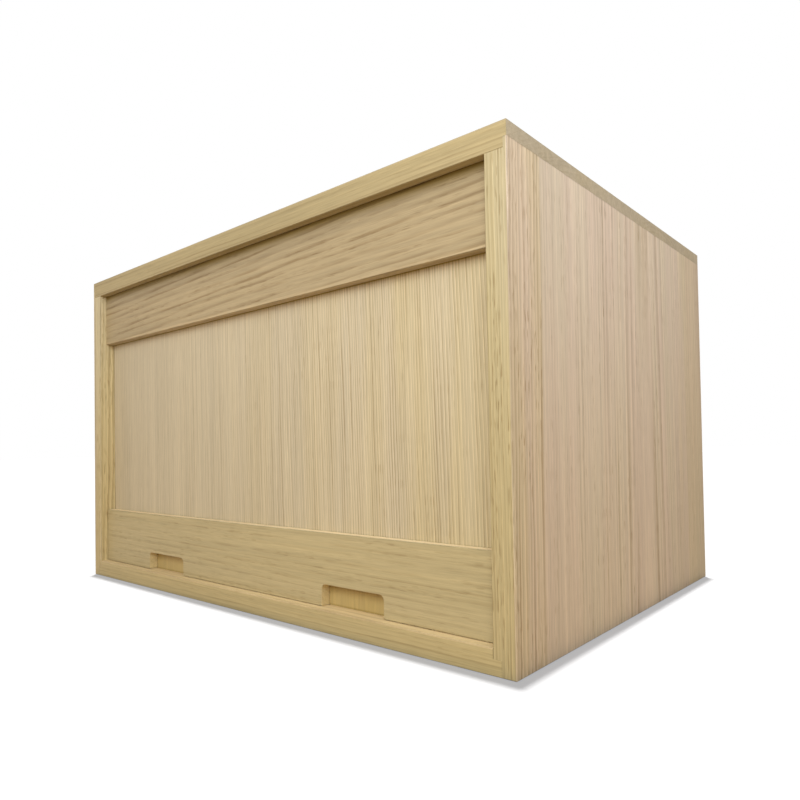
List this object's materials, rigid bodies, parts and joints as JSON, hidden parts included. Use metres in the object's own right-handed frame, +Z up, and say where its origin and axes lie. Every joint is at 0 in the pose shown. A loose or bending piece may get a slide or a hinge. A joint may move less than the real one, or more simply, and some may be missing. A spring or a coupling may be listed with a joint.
{
  "type": "kimono storage box",
  "caption": "Front-opening storage box of pale wood for folded kimono, with a lift-out lid whose foot stands in a groove and whose head rises behind a fixed strip.",
  "frame": {"origin": "on the floor under the middle of the box", "axes": "+X to the right of someone facing the lid, +Y from the lid to the back, +Z up"},
  "size_m": [0.68, 0.435, 0.4],
  "materials": {
    "top_board": "planed, unvarnished, straight grain along the board",
    "bottom_board": "planed, unvarnished, straight grain along the board",
    "side_boards": "planed, unvarnished, upright straight grain in edge-glued staves",
    "back_panel": "planed, unvarnished",
    "front_strip": "planed, unvarnished, marked level grain",
    "inner_rails": "planed, unvarnished",
    "lid_panel": "planed, unvarnished, fine upright straight grain",
    "lid_rail": "planed, unvarnished, level grain",
    "dowels": "turned, unvarnished",
    "pegs": "turned, ends planed flush"
  },
  "bodies": {
    "case": {"top_board": "top_board", "bottom_board": "bottom_board", "left_side_board": "side_boards", "right_side_board": "side_boards", "back_panel": "back_panel", "upper_front_strip": "front_strip", "upper_inner_rail": "inner_rails", "left_stop_batten": "inner_rails", "right_stop_batten": "inner_rails", "top_dowel_left_1": "dowels", "top_dowel_left_2": "dowels", "top_dowel_left_3": "dowels", "top_dowel_left_4": "dowels", "top_dowel_right_1": "dowels", "top_dowel_right_2": "dowels", "top_dowel_right_3": "dowels", "top_dowel_right_4": "dowels", "bottom_dowel_left_1": "dowels", "bottom_dowel_left_2": "dowels", "bottom_dowel_left_3": "dowels", "bottom_dowel_left_4": "dowels", "bottom_dowel_right_1": "dowels", "bottom_dowel_right_2": "dowels", "bottom_dowel_right_3": "dowels", "bottom_dowel_right_4": "dowels", "stop_peg_left_1": "pegs", "stop_peg_left_2": "pegs", "stop_peg_left_3": "pegs", "stop_peg_right_1": "pegs", "stop_peg_right_2": "pegs", "stop_peg_right_3": "pegs"},
    "lid": {"lid_panel": "lid_panel", "lid_bottom_rail": "lid_rail", "lid_rail_peg_1": "pegs", "lid_rail_peg_2": "pegs", "lid_rail_peg_3": "pegs", "lid_rail_peg_4": "pegs", "lid_rail_peg_5": "pegs"}
  },
  "joints": [
    {"name": "lid_lift", "type": "slide", "parent": "case", "child": "lid", "axis": [0, 0, 1], "range_m": [0, 0.044]}
  ]
}
